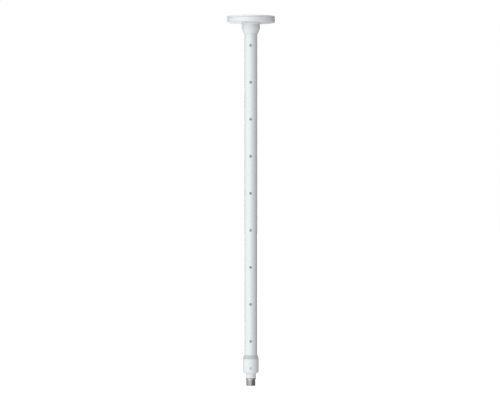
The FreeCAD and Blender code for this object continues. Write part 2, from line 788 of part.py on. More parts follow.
def make_connector_head():
    """The turned head that plugs into the tube's end and carries the jack in its stem."""
    body_bore = size.jack_body / 2 + size.fit_clearance
    match_seat = feed_bore_radius + size.match_sleeve_wall + size.fit_clearance
    ring_floor = spigot_radius - size.head_ring_section
    ring_half = size.head_ring_section / 2 + size.fit_clearance
    ring_level = flange_top + size.head_ring_depth
    seat_floor = jack_top + size.face_gap * 10
    head = turned("connector_head", 0, [
        (match_seat, spigot_top),
        (spigot_radius, spigot_top),
        (spigot_radius, ring_level + ring_half),
        (ring_floor, ring_level + ring_half),
        (ring_floor, ring_level - ring_half),
        (spigot_radius, ring_level - ring_half),
        (spigot_radius, flange_top),
        (flange_radius, flange_top),
        (flange_radius, flange_top - size.head_rim),
        (step_radius, flange_top - size.head_rim),
        (step_radius, flange_under),
        (stem_radius, flange_under),
        (stem_radius, stem_end),
        (body_bore, stem_end),
        (body_bore, seat_floor),
        (feed_bore_radius, seat_floor),
        (feed_bore_radius, match_sleeve_under),
        (match_seat, match_sleeve_under),
    ])
    flats = polygon_sketch(head, "flat", "YZ_Plane", [
        (flat_radius, stem_end + size.face_gap * 10),
        (stem_radius + size.face_gap, stem_end + size.face_gap * 10),
        (stem_radius + size.face_gap, collar_under - size.face_gap * 3),
        (flat_radius, collar_under - size.face_gap * 3),
    ])
    milled = cut(head, "PartDesign::Pocket", "flat_cut", flats, Type="ThroughAll", Midplane=True)
    repeat(head, "PartDesign::PolarPattern", "flats", milled, "Z_Axis", Angle=360, Occurrences=2)


def make_head_ring():
    """The O-ring that seals the connector head's spigot in the tube."""
    section = size.head_ring_section / 2
    ring = document.addObject("Part::Torus", "head_o_ring")
    ring.Label = "head_o_ring"
    ring.setExpression("Radius2", section.formula)
    ring.setExpression("Radius1", (spigot_radius + size.fit_clearance / 2 - section).formula)
    ring.setExpression(".Placement.Base.z", (flange_top + size.head_ring_depth).formula)
    nodes.append(ring)


def make_matching_section():
    """The brass sleeve and the PTFE bush round the feed rod: a short coaxial matching section."""
    length = size.match_sleeve_length
    turned("matching_sleeve", match_sleeve_under, hollow(
        feed_bore_radius, feed_bore_radius + size.match_sleeve_wall, length, 0))
    turned("feed_insulator", feed_rod_end, hollow(
        rod_radius + size.fit_clearance, feed_bore_radius - size.fit_clearance,
        match_sleeve_under - feed_rod_end + length, 0))


def make_jack():
    """The coaxial jack: gasket, threaded shell, insulator and slotted centre contact."""
    thread, shoulder = size.jack_thread / 2, size.jack_shoulder_diameter / 2
    body, mouth, bore = size.jack_body / 2, size.jack_mouth / 2, size.jack_bore / 2
    bevel = size.face_gap * 5
    shoulder_level = size.jack_thread_length
    turned("jack_gasket", shoulder_top, hollow(
        body + size.fit_clearance, shoulder, size.jack_gasket, 0))
    turned("jack_shell", nose, [
        (mouth, 0),
        (thread - bevel, 0),
        (thread, bevel),
        (thread, shoulder_level),
        (shoulder, shoulder_level),
        (shoulder, shoulder_level + size.jack_shoulder),
        (body, shoulder_level + size.jack_shoulder),
        (body, jack_top - nose),
        (bore, jack_top - nose),
        (bore, size.jack_mouth_depth),
        (mouth, size.jack_mouth_depth),
    ])
    contact = size.contact_diameter / 2
    turned("jack_insulator", insulator_under, hollow(
        contact + size.fit_clearance, bore - size.fit_clearance, jack_top - insulator_under, 0))
    socket, pin = size.contact_bore / 2, size.solder_pin / 2
    shoulder_rise = jack_top - nose
    pin_top = feed_rod_end - nose + size.rod_socket * 1.5
    socket_depth = size.contact_reach + size.jack_mouth_depth * 0.7
    tip = turned("jack_contact", nose, [
        (socket, size.contact_reach),
        (contact, size.contact_reach),
        (contact, shoulder_rise),
        (pin, shoulder_rise),
        (pin, pin_top),
        (0, pin_top),
        (0, socket_depth),
        (socket, socket_depth),
    ])
    half_slot = size.contact_slot / 2
    slot = polygon_sketch(tip, "slot", "XZ_Plane", [
        (-half_slot, size.contact_reach * 0.5),
        (half_slot, size.contact_reach * 0.5),
        (half_slot, size.contact_reach + size.contact_slot_length),
        (-half_slot, size.contact_reach + size.contact_slot_length),
    ])
    sawn = cut(tip, "PartDesign::Pocket", "slot_cut", slot, Type="ThroughAll", Midplane=True)
    repeat(tip, "PartDesign::PolarPattern", "slots", sawn, "Z_Axis", Angle=180, Occurrences=2)


# ---------------------------------------------------------------------------- build and write
def build():
    make_mounting_plate()
    make_hanger_screw()
    make_top_plug()
    make_plug_cross_pins()
    make_canopy()
    make_grip_ring()
    make_grub_screw(
        "canopy_grub_screw", dish_under - size.canopy_screw_depth,
        slide_radius + size.grub_tip_gap, neck_radius - size.grub_sink, OUTWARD_BACK,
    )
    make_radome_tube()
    make_spacer_screws()
    make_radiators()
    make_thread_sleeve()
    make_weather_seal()
    make_union_collar()
    make_grub_screw(
        "collar_grub_screw", grub_level,
        step_radius + size.grub_tip_gap, collar_radius - size.grub_sink, OUTWARD_FRONT,
    )
    make_slip_washer()
    make_connector_head()
    make_head_ring()
    make_matching_section()
    make_jack()


def check_document():
    """Stops if any object failed, or if a piece's shape is missing, broken or not made of solids."""
    document.recompute()
    failed = [item.Label for item in document.Objects if {"Invalid", "Error"} & set(item.State)]
    for node in nodes:
        shape = node.Shape
        if shape.isNull() or not shape.isValid() or not shape.Solids:
            failed.append(node.Label)
    if failed:
        raise RuntimeError(f"these objects failed: {failed}")


def write_parts():
    os.makedirs("parts", exist_ok=True)
    for node in nodes:
        node.Shape.exportStep(f"parts/{node.Label}.step")
        print(f"{node.Label:22s} {len(node.Shape.Solids)} solid(s) {node.Shape.Volume:10.2f} mm3")


build()
check_document()
write_parts()
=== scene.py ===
"""Looks of the ceiling-hung omnidirectional antenna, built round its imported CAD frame.

The frame is in metres: +Z up, the origin at the centre of the plate's ceiling face, the front towards -Y.
Profiles are written in millimetres, as (radius, height, rounding) corners in that same frame.
"""

import json
import math
from types import SimpleNamespace

import bmesh
import bpy
from mathutils import Matrix, Vector


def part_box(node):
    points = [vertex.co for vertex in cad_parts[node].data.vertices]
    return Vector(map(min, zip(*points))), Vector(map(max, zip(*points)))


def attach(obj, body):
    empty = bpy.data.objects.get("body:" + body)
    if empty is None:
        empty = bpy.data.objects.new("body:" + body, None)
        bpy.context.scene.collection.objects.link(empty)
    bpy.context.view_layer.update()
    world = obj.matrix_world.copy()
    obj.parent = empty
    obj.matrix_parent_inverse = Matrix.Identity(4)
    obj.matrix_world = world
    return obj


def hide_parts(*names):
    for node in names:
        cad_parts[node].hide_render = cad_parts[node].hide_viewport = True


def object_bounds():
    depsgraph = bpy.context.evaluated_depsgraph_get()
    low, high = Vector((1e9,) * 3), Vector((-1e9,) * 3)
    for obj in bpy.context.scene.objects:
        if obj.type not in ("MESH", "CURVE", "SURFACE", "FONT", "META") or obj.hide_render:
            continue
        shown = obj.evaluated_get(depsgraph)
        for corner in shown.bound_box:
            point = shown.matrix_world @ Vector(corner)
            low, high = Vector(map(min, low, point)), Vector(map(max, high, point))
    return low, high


MM = 0.001

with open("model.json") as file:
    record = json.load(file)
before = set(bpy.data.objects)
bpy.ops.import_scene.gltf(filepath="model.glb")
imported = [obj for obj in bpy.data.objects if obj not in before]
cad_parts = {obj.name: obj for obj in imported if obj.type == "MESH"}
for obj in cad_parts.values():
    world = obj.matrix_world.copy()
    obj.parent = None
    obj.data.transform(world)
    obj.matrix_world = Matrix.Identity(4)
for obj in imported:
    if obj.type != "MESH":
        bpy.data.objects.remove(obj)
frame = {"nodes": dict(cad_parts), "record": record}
cad_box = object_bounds()


# ---------------------------------------------------------------------------- places taken from the frame
def extent(node):
    """A CAD node's half width, top and bottom, in millimetres."""
    low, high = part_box(node)
    return SimpleNamespace(radius=high.x / MM, top=high.z / MM, bottom=low.z / MM)


def mount(name):
    return next(entry for entry in frame["record"]["mounts"] if entry["name"] == name)


def numbered(stem):
    """The frame's nodes called stem_1, stem_2 and so on, in that order."""
    names = [node for node in frame["nodes"] if node.startswith(f"{stem}_") and node.split("_")[-1].isdigit()]
    return sorted(names, key=lambda node: int(node.split("_")[-1]))


tube = extent("radome_tube")
plate = extent("mounting_plate")
canopy = extent("canopy")
seal = extent("weather_seal")
collar = extent("union_collar")
sleeve = extent("thread_sleeve")
head = extent("connector_head")
gasket = extent("jack_gasket")
shell = extent("jack_shell")
screw_levels = [(extent(node).top + extent(node).bottom) / 2 for node in numbered("spacer")]

# walls, gaps and depths that several pieces share, in millimetres
TUBE_WALL = 1.7
SLIDE_GAP = 0.15
FIT_GAP = 0.05
FACE_GAP = 0.1
SCREW_SINK = 0.45  # the spacer screws' faces lie this far below the tube's crest
JACK_BODY = 6.4
JACK_MOUTH_DEPTH = 9.2

# mesh detail, in millimetres
LONGEST = 20.0  # a straight stretch of a profile is divided into parts no longer than this
WELD = 1e-4  # vertices closer than this become one
ON_AXIS = 0.005  # a profile's point closer to the axis than this lies on it


# ---------------------------------------------------------------------------- mesh tools
def arc_round(before, corner, after, edge, steps):
    """The points of an arc of radius edge that rounds a corner between two straight sides."""
    back = (before - corner).normalized()
    ahead = (after - corner).normalized()
    half_angle = back.angle(ahead) / 2
    centre = corner + (back + ahead).normalized() * (edge / math.sin(half_angle))
    reach = edge / math.tan(half_angle)
    start = corner + back * reach - centre
    end = corner + ahead * reach - centre
    turn = math.atan2(start.x * end.y - start.y * end.x, start.dot(end))
    points = []
    for step in range(steps + 1):
        angle = turn * step / steps
        points.append(centre + Matrix.Rotation(angle, 2) @ start)
    return points


def outline_of(corners, steps, longest, closed):
    """The outline through (radius, height, rounding) corners, with long straight stretches divided."""
    points = []
    for index, (radius, height, edge) in enumerate(corners):
        corner = Vector((radius, height))
        is_end = not closed and index in (0, len(corners) - 1)
        if edge == 0 or is_end:
            points.append(corner)
            continue
        before = Vector(corners[index - 1][:2])
        after = Vector(corners[(index + 1) % len(corners)][:2])
        points.extend(arc_round(before, corner, after, edge, steps))
    divided = []
    following = points[1:] + (points[:1] if closed else [])
    for start, end in zip(points, following):
        parts = max(1, math.ceil((end - start).length / longest))
        divided.extend(start.lerp(end, part / parts) for part in range(parts))
    return divided if closed else divided + [points[-1]]


def spin(mesh, outline, segments, closed=True):
    """Turns an outline in millimetres about the Z axis. A point on the axis becomes a single vertex."""
    rings = []
    for radius, height in outline:
        if radius < ON_AXIS:
            rings.append([mesh.verts.new((0, 0, height * MM))] * segments)
            continue
        ring = []
        for segment in range(segments):
            angle = 2 * math.pi * segment / segments
            point = Vector((radius * math.cos(angle), radius * math.sin(angle), height))
            ring.append(mesh.verts.new(point * MM))
        rings.append(ring)
    following = rings[1:] + (rings[:1] if closed else [])
    for lower, upper in zip(rings, following):
        for segment in range(segments):
            beside = (segment + 1) % segments
            corners = dict.fromkeys((lower[segment], lower[beside], upper[beside], upper[segment]))
            if len(corners) > 2:
                mesh.faces.new(corners)


def new_piece(name, mesh, place=Matrix.Identity(4)):
    """An object from a bmesh, with its place in its vertices."""
    bmesh.ops.remove_doubles(mesh, verts=mesh.verts, dist=WELD * MM)
    bmesh.ops.recalc_face_normals(mesh, faces=mesh.faces)
    mesh.transform(place)
    data = bpy.data.meshes.new(name)
    mesh.to_mesh(data)
    mesh.free()
    piece = bpy.data.objects.new(name, data)
    bpy.context.scene.collection.objects.link(piece)
    return piece


def lathe(name, corners, segments=128, steps=5, longest=LONGEST, place=Matrix.Identity(4)):
    """A turned solid from the corners of half its section."""
    mesh = bmesh.new()
    spin(mesh, outline_of(corners, steps, longest, closed=True), segments)
    return new_piece(name, mesh, place)


def block(name, low, high, place=Matrix.Identity(4)):
    """A box between two corners in millimetres, used only to cut with."""
    mesh = bmesh.new()
    bmesh.ops.create_cube(mesh, size=MM)
    span = Vector(high) - Vector(low)
    middle = (Vector(high) + Vector(low)) * MM / 2
    mesh.transform(Matrix.Translation(middle) @ Matrix.Diagonal((*span, 1)))
    return new_piece(name, mesh, place)


def hexagon(name, across_flats, floor, mouth, place):
    """A hexagonal prism along Z, used only to cut a key socket."""
    mesh = bmesh.new()
    corner = across_flats / 2 / math.cos(math.radians(30))
    spin(mesh, [Vector((0, floor)), Vector((corner, floor)), Vector((corner, mouth)), Vector((0, mouth))], 6)
    return new_piece(name, mesh, place)


def carve(piece, cutters):
    """Cuts the cutters out of the piece and removes them."""
    for cutter in cutters:
        cut = piece.modifiers.new(cutter.name, "BOOLEAN")
        cut.operation = "DIFFERENCE"
        cut.solver = "EXACT"
        cut.object = cutter
    shaped = piece.evaluated_get(bpy.context.evaluated_depsgraph_get())
    carved = bpy.data.meshes.new_from_object(shaped)
    piece.modifiers.clear()
    piece.data = carved
    for cutter in cutters:
        bpy.data.objects.remove(cutter)
    return piece


def join(name, pieces):
    """One object from several that are the same kind of thing."""
    mesh = bmesh.new()
    for piece in pieces:
        mesh.from_mesh(piece.data)
        bpy.data.objects.remove(piece)
    return new_piece(name, mesh)


def at(level, turn=Matrix.Identity(4)):
    """A place on the antenna's axis at that level, in millimetres, after a turn."""
    return Matrix.Translation((0, 0, level * MM)) @ turn


FRONT = Matrix.Rotation(math.radians(90), 4, "X")  # a piece's own +Z then points to the front, -Y
BACK = Matrix.Rotation(math.radians(-90), 4, "X")
SIDE = Matrix.Rotation(math.radians(90), 4, "Y")


# ---------------------------------------------------------------------------- finishes
class Finish:
    """A node material. What is the same all over sits on the shader's sockets, and the rest is noise in the
    piece's own coordinates, with its grain in millimetres."""

    MIX_FIRST, MIX_SECOND, MIX_RESULT = 6, 7, 2  # where a Mix node keeps its colour sockets

    def __init__(self, slot, **uniform):
        self.material = bpy.data.materials.new(slot)
        self.material.use_nodes = True
        self.nodes = self.material.node_tree.nodes
        self.link = self.material.node_tree.links.new
        self.shader = self.nodes["Principled BSDF"]
        self.normal = None
        for name, value in uniform.items():
            self.shader.inputs[name.replace("_", " ")].default_value = value
        self.tint = None
        self.place = self.nodes.new("ShaderNodeTexCoord").outputs["Object"]

    def noise(self, grain, detail=3.0, stretch=(1, 1, 1)):
        """Noise whose features are about grain millimetres across, times stretch along each axis."""
        mapping = self.nodes.new("ShaderNodeMapping")
        mapping.inputs["Scale"].default_value = [1 / (grain * MM * along) for along in stretch]
        self.link(self.place, mapping.inputs["Vector"])
        noise = self.nodes.new("ShaderNodeTexNoise")
        noise.inputs["Scale"].default_value = 1.0
        noise.inputs["Detail"].default_value = detail
        self.link(mapping.outputs["Vector"], noise.inputs["Vector"])
        return noise.outputs["Fac"]

    def turning_marks(self, pitch, wander=1.5):
        """Fine rings round the Z axis, as a lathe tool leaves them."""
        wave = self.nodes.new("ShaderNodeTexWave")
        wave.bands_direction = "Z"
        own_period = 2 * math.pi / 20  # the spacing of this texture's bands at a scale of 1
        wave.inputs["Scale"].default_value = own_period / (pitch * MM)
        wave.inputs["Distortion"].default_value = wander
        wave.inputs["Detail"].default_value = 2.0
        self.link(self.place, wave.inputs["Vector"])
        return wave.outputs["Fac"]

    def spread(self, factor, low, high, between=(0.3, 0.7)):
        """Maps the part of a noise that lies between two values onto low to high."""
        mapped = self.nodes.new("ShaderNodeMapRange")
        mapped.inputs["From Min"].default_value = between[0]
        mapped.inputs["From Max"].default_value = between[1]
        mapped.inputs["To Min"].default_value = low
        mapped.inputs["To Max"].default_value = high
        self.link(factor, mapped.inputs["Value"])
        return mapped.outputs["Result"]

    def colour(self, factor, dark, light, between=(0.3, 0.7)):
        """Colours the surface from dark to light with the noise."""
        ramp = self.nodes.new("ShaderNodeValToRGB")
        for stop, position, shade in zip(ramp.color_ramp.elements, between, (dark, light)):
            stop.position = position
            stop.color = (*shade, 1.0)
        self.link(factor, ramp.inputs["Fac"])
        self.tint = ramp.outputs["Color"]
        self.link(self.tint, self.shader.inputs["Base Color"])
        return self

    def specks(self, factor, shade, between):
        """Lays small specks of another shade over the colour."""
        mix = self.nodes.new("ShaderNodeMix")
        mix.data_type = "RGBA"
        self.link(self.spread(factor, 0.0, 1.0, between), mix.inputs["Factor"])
        self.link(self.tint, mix.inputs[self.MIX_FIRST])
        mix.inputs[self.MIX_SECOND].default_value = (*shade, 1.0)
        self.tint = mix.outputs[self.MIX_RESULT]
        self.link(self.tint, self.shader.inputs["Base Color"])
        return self

    def roughness(self, factor, smooth, rough):
        self.link(self.spread(factor, smooth, rough), self.shader.inputs["Roughness"])
        return self

    def relief(self, factor, depth, strength=1.0):
        """Raises the surface by the noise, depth millimetres at most."""
        bump = self.nodes.new("ShaderNodeBump")
        bump.inputs["Strength"].default_value = strength
        bump.inputs["Distance"].default_value = depth * MM
        self.link(factor, bump.inputs["Height"])
        if self.normal is not None:
            self.link(self.normal, bump.inputs["Normal"])
        self.normal = bump.outputs["Normal"]
        self.link(self.normal, self.shader.inputs["Normal"])
        return self


def gel_coat():
    """White fibreglass under a smooth gel coat: faint streaks along the tube, and a slight orange peel."""
    finish = Finish("radome_gloss", IOR=1.5, Coat_Weight=0.35, Coat_Roughness=0.12)
    streaks = finish.noise(0.7, 4.0, (1, 1, 60))
    finish.colour(streaks, (0.798, 0.850, 0.865), (0.82, 0.87, 0.885))
    finish.specks(finish.noise(1.1, 2.0), (0.66, 0.68, 0.67), (0.76, 0.82))
    finish.roughness(finish.noise(6.0, 4.0), 0.22, 0.30)
    finish.relief(finish.noise(2.2, 2.0), 0.010)
    return finish.relief(streaks, 0.004).material


def moulded_white():
    """The canopy's plastic: a fine spark-eroded grain with a soft gloss."""
    finish = Finish("canopy_plastic", IOR=1.5, Coat_Weight=0.15, Coat_Roughness=0.25)
    cloud = finish.noise(14.0, 3.0)
    finish.colour(cloud, (0.80, 0.85, 0.865), (0.83, 0.875, 0.89))
    finish.specks(finish.noise(0.8, 2.0), (0.68, 0.70, 0.69), (0.77, 0.84))
    finish.roughness(finish.noise(3.0, 4.0), 0.28, 0.42)
    return finish.relief(finish.noise(0.35, 3.0), 0.010).material


def powder_coat(slot, dark, light):
    """Satin powder coat on metal: a pebbled skin with a few dull specks."""
    finish = Finish(slot, IOR=1.5, Coat_Weight=0.1, Coat_Roughness=0.3)
    finish.colour(finish.noise(9.0, 4.0), dark, light)
    finish.specks(finish.noise(0.9, 2.0), (0.62, 0.64, 0.63), (0.76, 0.83))
    finish.roughness(finish.noise(2.0, 4.0), 0.30, 0.46)
    finish.relief(finish.noise(0.55, 2.0), 0.022)
    return finish.relief(finish.noise(0.12, 2.0), 0.004).material


def rubber(slot, dark, light, grain):
    """Moulded rubber: matt and slightly mottled, with a sheen at grazing angles."""
    finish = Finish(slot, IOR=1.47, Sheen_Weight=0.12, Sheen_Roughness=0.5)
    finish.colour(finish.noise(4.0, 5.0), dark, light)
    finish.roughness(finish.noise(1.0, 4.0), 0.55, 0.78)
    finish.relief(finish.noise(grain, 3.0), 0.02)
    return finish.relief(finish.noise(grain / 4, 2.0), 0.005).material


def nylon():
    """Grey moulded nylon with a faint flow pattern."""
    finish = Finish("screw_nylon", IOR=1.53, Subsurface_Weight=0.03)
    finish.colour(finish.noise(1.2, 4.0, (1, 1, 2)), (0.31, 0.325, 0.335), (0.41, 0.425, 0.435))
    finish.roughness(finish.noise(0.4, 3.0), 0.38, 0.58)
    return finish.relief(finish.noise(0.15, 3.0), 0.008).material


def turned_metal(slot, dark, light, smooth, rough, pitch, depth, stain=None):
    """Bare metal from a lathe: tool marks round the axis, with a cloudy tarnish."""
    finish = Finish(slot, Metallic=1.0)
    finish.colour(finish.noise(3.0, 6.0), dark, light)
    if stain is not None:
        finish.specks(finish.noise(1.6, 5.0), stain, (0.58, 0.72))
    finish.roughness(finish.noise(0.8, 5.0), smooth, rough)
    finish.relief(finish.turning_marks(pitch), depth)
    return finish.relief(finish.noise(0.25, 3.0), depth / 2).material


def drawn_metal(slot, dark, light, smooth, rough):
    """Drawn rod or wire: fine streaks along its length."""
    finish = Finish(slot, Metallic=1.0)
    streaks = finish.noise(0.25, 4.0, (1, 1, 40))
    finish.colour(finish.noise(5.0, 5.0), dark, light)
    finish.roughness(streaks, smooth, rough)
    return finish.relief(streaks, 0.006).material


def turned_ptfe():
    """Waxy white PTFE with soft turning marks."""
    finish = Finish("ptfe", IOR=1.38, Subsurface_Weight=0.08, Subsurface_Scale=0.002)
    finish.colour(finish.noise(2.5, 4.0), (0.80, 0.80, 0.775), (0.88, 0.88, 0.86))
    finish.roughness(finish.noise(0.8, 4.0), 0.42, 0.60)
    return finish.relief(finish.turning_marks(0.22), 0.01).material


def make_finishes():
    """One material for each of the record's slots."""
    return {
        "plate_paint": powder_coat("plate_paint", (0.80, 0.84, 0.855), (0.84, 0.875, 0.885)),
        "collar_paint": powder_coat("collar_paint", (0.80, 0.85, 0.865), (0.84, 0.88, 0.89)),
        "canopy_plastic": moulded_white(),
        "radome_gloss": gel_coat(),
        "grey_seal": rubber("grey_seal", (0.57, 0.595, 0.605), (0.65, 0.675, 0.685), grain=0.6),
        "black_rubber": rubber("black_rubber", (0.016, 0.016, 0.017), (0.035, 0.035, 0.036), grain=0.5),
        "screw_nylon": nylon(),
        "hardware_steel": turned_metal(
            "hardware_steel", (0.42, 0.42, 0.42), (0.56, 0.56, 0.55),
            smooth=0.24, rough=0.40, pitch=0.16, depth=0.006, stain=(0.30, 0.29, 0.27)),
        "bare_aluminium": turned_metal(
            "bare_aluminium", (0.66, 0.67, 0.68), (0.78, 0.79, 0.80),
            smooth=0.28, rough=0.42, pitch=0.20, depth=0.008),
        "jack_nickel": turned_metal(
            "jack_nickel", (0.505, 0.505, 0.51), (0.655, 0.65, 0.645),
            smooth=0.20, rough=0.36, pitch=0.14, depth=0.006, stain=(0.34, 0.33, 0.315)),
        "contact_gold": turned_metal(
            "contact_gold", (0.82, 0.60, 0.24), (0.94, 0.74, 0.36),
            smooth=0.16, rough=0.30, pitch=0.10, depth=0.004),
        "rod_brass": drawn_metal(
            "rod_brass", (0.66, 0.48, 0.20), (0.82, 0.64, 0.32), smooth=0.22, rough=0.40),
        "coil_copper": drawn_metal(
            "coil_copper", (0.62, 0.28, 0.15), (0.82, 0.44, 0.28), smooth=0.20, rough=0.34),
        "ptfe": turned_ptfe(),
    }


finishes = make_finishes()
slot_of = {entry["node"]: entry["material_slot"] for entry in frame["record"]["subparts"]}
body_of_node = {
    node: body for body, members in frame["record"]["behaviour"]["bodies"].items() for node in members
}
SHARP_EDGE = math.radians(32)


def dress(piece, node):
    """Makes a piece stand for a CAD node: the node's slot, its finish and its body."""
    piece.data.materials.clear()
    piece.data.materials.append(finishes[slot_of[node]])
    piece.data.polygons.foreach_set("material_index", [0] * len(piece.data.polygons))
    piece.data.shade_smooth()
    piece.data.set_sharp_from_angle(angle=SHARP_EDGE)
    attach(piece, body_of_node[node])
    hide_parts(node)


def finish_cad_nodes():
    """The inner pieces keep their CAD shapes, and get the finish of their slot."""
    for name, node in frame["nodes"].items():
        node.data.materials.clear()
        node.data.materials.append(finishes[slot_of[name]])


# ---------------------------------------------------------------------------- ceiling end
def make_plate():
    """The ceiling plate: edges eased under the paint, four screw holes and the seat of the hanger screw."""
    holes = mount("ceiling_holes")["dims"]
    thickness, boss_wall = 3.2, 3.4
    socket = tube.radius + FACE_GAP
    boss = socket + boss_wall
    seat, shank = 6.05, 3.05
    piece = lathe("ceiling_plate", [
        (seat, plate.top, 0.15),
        (plate.radius, plate.top, 1.4),
        (plate.radius, plate.top - thickness, 0.4),
        (boss, plate.top - thickness, 0.8),
        (boss, plate.bottom, 0.4),
        (socket, plate.bottom, 0.25),
        (socket, plate.top - thickness, 0.1),
        (shank, plate.top - thickness, 0.1),
        (shank, plate.top - (seat - shank), 0.1),
    ], segments=192)
    hole, bevel, beyond = holes["hole_r_mm"], 0.25, 1.0
    cutters = []
    for number in range(holes["count"]):
        angle = 2 * math.pi * number / holes["count"]
        centre = Vector((math.cos(angle), math.sin(angle), 0)) * holes["pcd_mm"] / 2 * MM
        cutters.append(lathe(f"screw_hole_{number}", [
            (0, beyond, 0),
            (hole + bevel + beyond, beyond, 0),
            (hole, -bevel, 0),
            (hole, bevel - thickness, 0),
            (hole + bevel + beyond, -beyond - thickness, 0),
            (0, -beyond - thickness, 0),
        ], segments=48, place=Matrix.Translation(centre)))
    dress(carve(piece, cutters), "mounting_plate")


def make_hanger_screw():
    """The countersunk screw in the plate's middle, with its key socket."""
    screw = extent("hanger_screw")
    shank, tip_bevel = 3.0, 0.6
    piece = lathe("hanger_screw_piece", [
        (0, screw.top, 0),
        (screw.radius, screw.top, 0.15),
        (shank, shank - screw.radius - FACE_GAP, 0.3),
        (shank, screw.bottom + tip_bevel, 0),
        (shank - tip_bevel, screw.bottom, 0),
        (0, screw.bottom, 0),
    ], segments=64)
    across_flats, key_depth, beyond = 4.0, 2.0, 1.0
    socket = hexagon("hanger_key", across_flats, screw.top - key_depth, beyond, at(0))
    dress(carve(piece, [socket]), "hanger_screw")


def make_canopy():
    """The cover over the plate: a round-rimmed dish, a neck tapered onto the tube, and the grip ring's
    groove."""
    wall, neck_wall, neck_height = 2.0, 4.2, 18.0
    taper_height, taper_wall = 9.0, 0.75
    bore = tube.radius + SLIDE_GAP
    neck = bore + neck_wall
    under = canopy.bottom + neck_height
    floor = under + wall
    ring_depth, ring_half, groove_depth = 3.0, 0.73, 1.41
    ring_level, groove = under - ring_depth, tube.radius + groove_depth
    screw_depth = 6.4
    rim = plate.radius  # the cover and the plate are equally wide
    piece = lathe("canopy_cover", [
        (rim, canopy.top, 0.35),
        (rim, under, 3.0),
        (neck, under, 2.5),
        (neck, canopy.bottom + taper_height, 3.0),
        (bore + taper_wall, canopy.bottom, 0.3),
        (bore, canopy.bottom, 0.15),
        (bore, ring_level - ring_half, 0.1),
        (groove, ring_level - ring_half, 0.1),
        (groove, ring_level + ring_half, 0.1),
        (bore, ring_level + ring_half, 0.1),
        (bore, floor, 0.2),
        (rim - wall, floor, 1.0),
        (rim - wall, canopy.top, 0.3),
    ], segments=192, steps=8)
    screw_hole = grub_hole("canopy_screw_hole", under - screw_depth, tube.radius, neck, BACK)
    dress(carve(piece, [screw_hole]), "canopy")


def grub_hole(name, level, inner, outer, turn):
    """The cutter for a grub screw's hole, with a small bevel at its mouth."""
    radius, bevel, bevel_depth, beyond = 2.05, 0.25, 0.4, 2.0
    return lathe(name, [
        (0, inner, 0),
        (radius, inner, 0),
        (radius, outer - bevel_depth, 0),
        (radius + bevel, outer, 0),
        (radius + bevel, outer + beyond, 0),
        (0, outer + beyond, 0),
    ], segments=48, place=at(level, turn))


def make_grub_screw(node, turn):
    """A headless screw with a chamfered tip and a hexagonal socket in its face."""
    low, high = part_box(node)
    near, far = sorted((abs(low.y / MM), abs(high.y / MM)))
    level = (low.z + high.z) / 2 / MM
    radius = high.x / MM
    bevel = radius * 0.4
    piece = lathe(f"{node}_piece", [
        (0, near, 0),
        (radius - bevel, near, 0.1),
        (radius, near + bevel, 0.1),
        (radius, far, 0.18),
        (0, far, 0),
    ], segments=48, place=at(level, turn))
    across_flats, key_depth, beyond = 2.0, 1.4, 1.0
    socket = hexagon(f"{node}_key", across_flats, far - key_depth, far + beyond, at(level, turn))
    dress(carve(piece, [socket]), node)


# ---------------------------------------------------------------------------- radome
def make_radome():
    """The tube, with a countersunk seat for each spacer screw and the holes of the cross pins at its top."""
    bore = tube.radius - TUBE_WALL
    piece = lathe("radome", [
        (tube.radius, tube.top, 0.2),
        (tube.radius, tube.bottom, 0.2),
        (bore, tube.bottom, 0.2),
        (bore, tube.top, 0.2),
    ], segments=192, steps=3, longest=6.0)
    shank, head_radius = 1.3, 2.4
    face = tube.radius - SCREW_SINK
    inside, outside = bore - 2.0, tube.radius + 0.3
    mouth_widening, mouth_depth = 0.3, 0.12
    seats = [lathe(f"screw_seat_{number}", [
        (0, inside, 0),
        (shank, inside, 0),
        (shank, face - (head_radius - shank), 0),
        (head_radius, face, 0),
        (head_radius, tube.radius - mouth_depth, 0),
        (head_radius + mouth_widening, outside, 0),
        (0, outside, 0),
    ], segments=48, place=at(level, FRONT)) for number, level in enumerate(screw_levels)]
    pin, pin_depth = 1.55, 9.8
    half_width = tube.radius + 1.0
    pin_hole = lathe("pin_hole", [
        (0, -half_width, 0),
        (pin, -half_width, 0),
        (pin, half_width, 0),
        (0, half_width, 0),
    ], segments=32, place=at(tube.top - pin_depth, SIDE))
    dress(carve(piece, [join("screw_seats", seats), pin_hole]), "radome_tube")


def make_spacer_screws():
    """The slotted countersunk screws down the front, each tightened to a slot angle of its own."""
    shank, head_radius, length = 1.25, 2.35, 6.0
    slot_width, slot_depth, slot_reach, beyond = 0.8, 0.5, 4, 1
    face = tube.radius - SCREW_SINK
    first_slot, slot_step = 20, 67  # in degrees; with this step no two slots line up
    screws = []
    for number, level in enumerate(screw_levels):
        turn = FRONT @ Matrix.Rotation(math.radians(first_slot + slot_step * number), 4, "Z")
        screw = lathe(f"spacer_screw_{number}", [
            (0, face, 0),
            (head_radius, face, 0.12),
            (shank, face - (head_radius - shank), 0.1),
            (shank, face - length, 0.2),
            (0, face - length, 0),
        ], segments=48, place=at(level, turn))
        low = (-slot_width / 2, -slot_reach, face - slot_depth)
        high = (slot_width / 2, slot_reach, face + beyond)
        screws.append(carve(screw, [block("slot", low, high, at(level, turn))]))
    dress(join("spacer_screw_row", screws), "spacer_screws")


